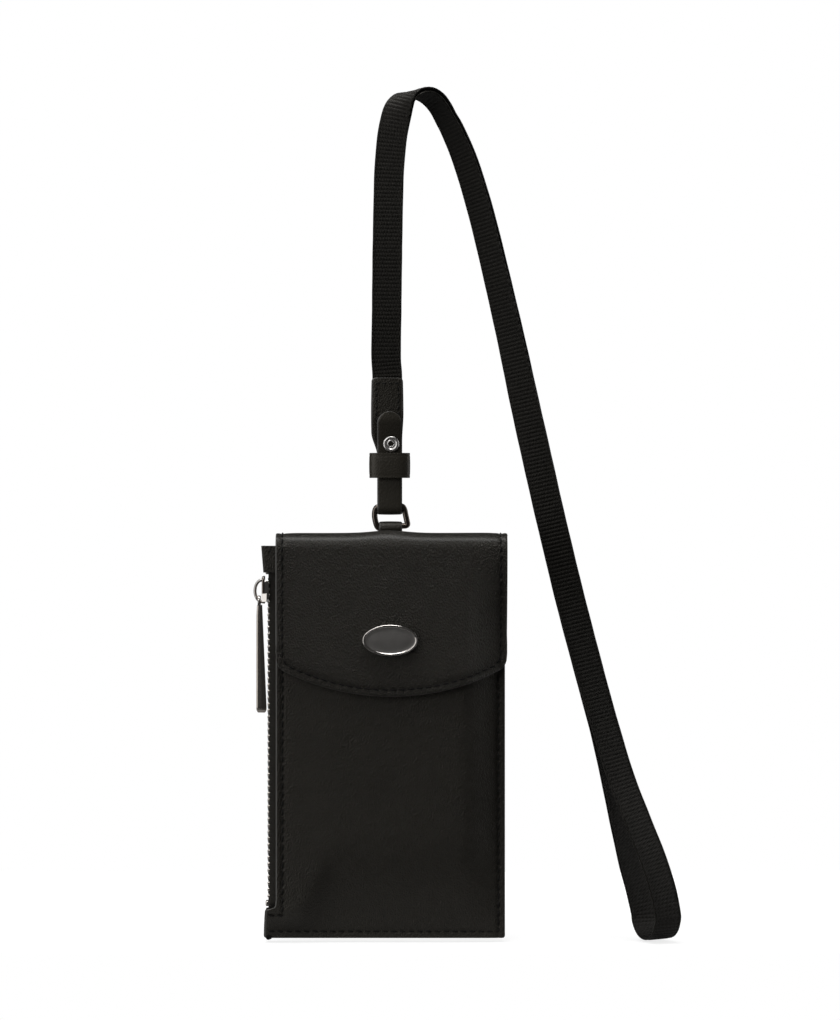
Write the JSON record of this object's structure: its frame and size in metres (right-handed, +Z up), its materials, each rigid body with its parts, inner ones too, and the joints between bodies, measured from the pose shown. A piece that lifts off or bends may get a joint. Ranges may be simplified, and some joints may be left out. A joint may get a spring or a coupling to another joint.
{
  "type": "neck pouch wallet",
  "caption": "Flat black leather pouch with a flap pocket and a side zip, hung by a D-ring and leather tab from a doubled ribbed webbing neck strap.",
  "frame": {"origin": "the point inside the strap's top fold that the wallet hangs from", "axes": "+X to the right seen from the front, -Y is the front with the flap and emblem, +Z up along the strap"},
  "size_m": [0.1423, 0.0236, 0.2838],
  "materials": {
    "black_leather": "smooth fine-grain black leather, semi-matt",
    "lining_cloth": "plain black lining",
    "ribbed_webbing": "black ribbed nylon webbing",
    "zip_tape_cloth": "black woven zip tape",
    "polished_metal": "polished nickel",
    "dark_metal": "dark nickel",
    "magnet_metal": "plated magnet"
  },
  "bodies": {
    "strap": {"neck_strap": "ribbed_webbing", "strap_tab": "black_leather", "strap_cover": "black_leather", "stud_screw": "polished_metal", "stud_post": "polished_metal"},
    "keeper": {"strap_keeper": "black_leather"},
    "ring": {"d_ring": "dark_metal"},
    "pouch": {"d_ring_tab": "black_leather", "back_panel": "black_leather", "back_lining": "lining_cloth", "pocket_divider": "lining_cloth", "front_lining": "lining_cloth", "front_panel": "black_leather", "pocket_magnet": "magnet_metal", "zip_tape_front": "zip_tape_cloth", "zip_tape_back": "zip_tape_cloth", "zip_teeth_front": "polished_metal", "zip_teeth_back": "polished_metal", "zip_stop_top": "polished_metal", "zip_stop_bottom": "polished_metal", "zip_end_tab": "black_leather"},
    "flap": {"flap": "black_leather", "flap_lining": "lining_cloth", "flap_magnet": "magnet_metal", "emblem_plate": "polished_metal", "emblem_washer_left": "dark_metal", "emblem_washer_right": "dark_metal"},
    "slider": {"zip_slider": "polished_metal", "zip_slider_plate": "polished_metal"},
    "puller": {"zip_puller": "polished_metal"}
  },
  "joints": [
    {"name": "keeper_slide", "type": "slide", "parent": "strap", "child": "keeper", "axis": [0, 0, 1], "range_m": [-0.008, 0]},
    {"name": "d_ring_swing", "type": "hinge", "parent": "strap", "child": "ring", "pos_m": [-0.0101, 0, -0.13435], "axis": [1, 0, 0], "range_deg": [-55, 70]},
    {"name": "pouch_swing", "type": "hinge", "parent": "ring", "child": "pouch", "pos_m": [-0.0101, 0, -0.14145], "axis": [1, 0, 0], "range_deg": [-40, 60]},
    {"name": "flap_open", "type": "hinge", "parent": "pouch", "child": "flap", "pos_m": [-0.0097, -0.005, -0.1435], "axis": [-1, 0, 0], "range_deg": [0, 110]},
    {"name": "slider_slide", "type": "slide", "parent": "pouch", "child": "slider", "axis": [0, 0, 1], "range_m": [-0.096, 0]},
    {"name": "puller_swing", "type": "hinge", "parent": "slider", "child": "puller", "pos_m": [-0.0531, -0.0056, -0.164], "axis": [0, 1, 0], "range_deg": [0, 100]}
  ]
}
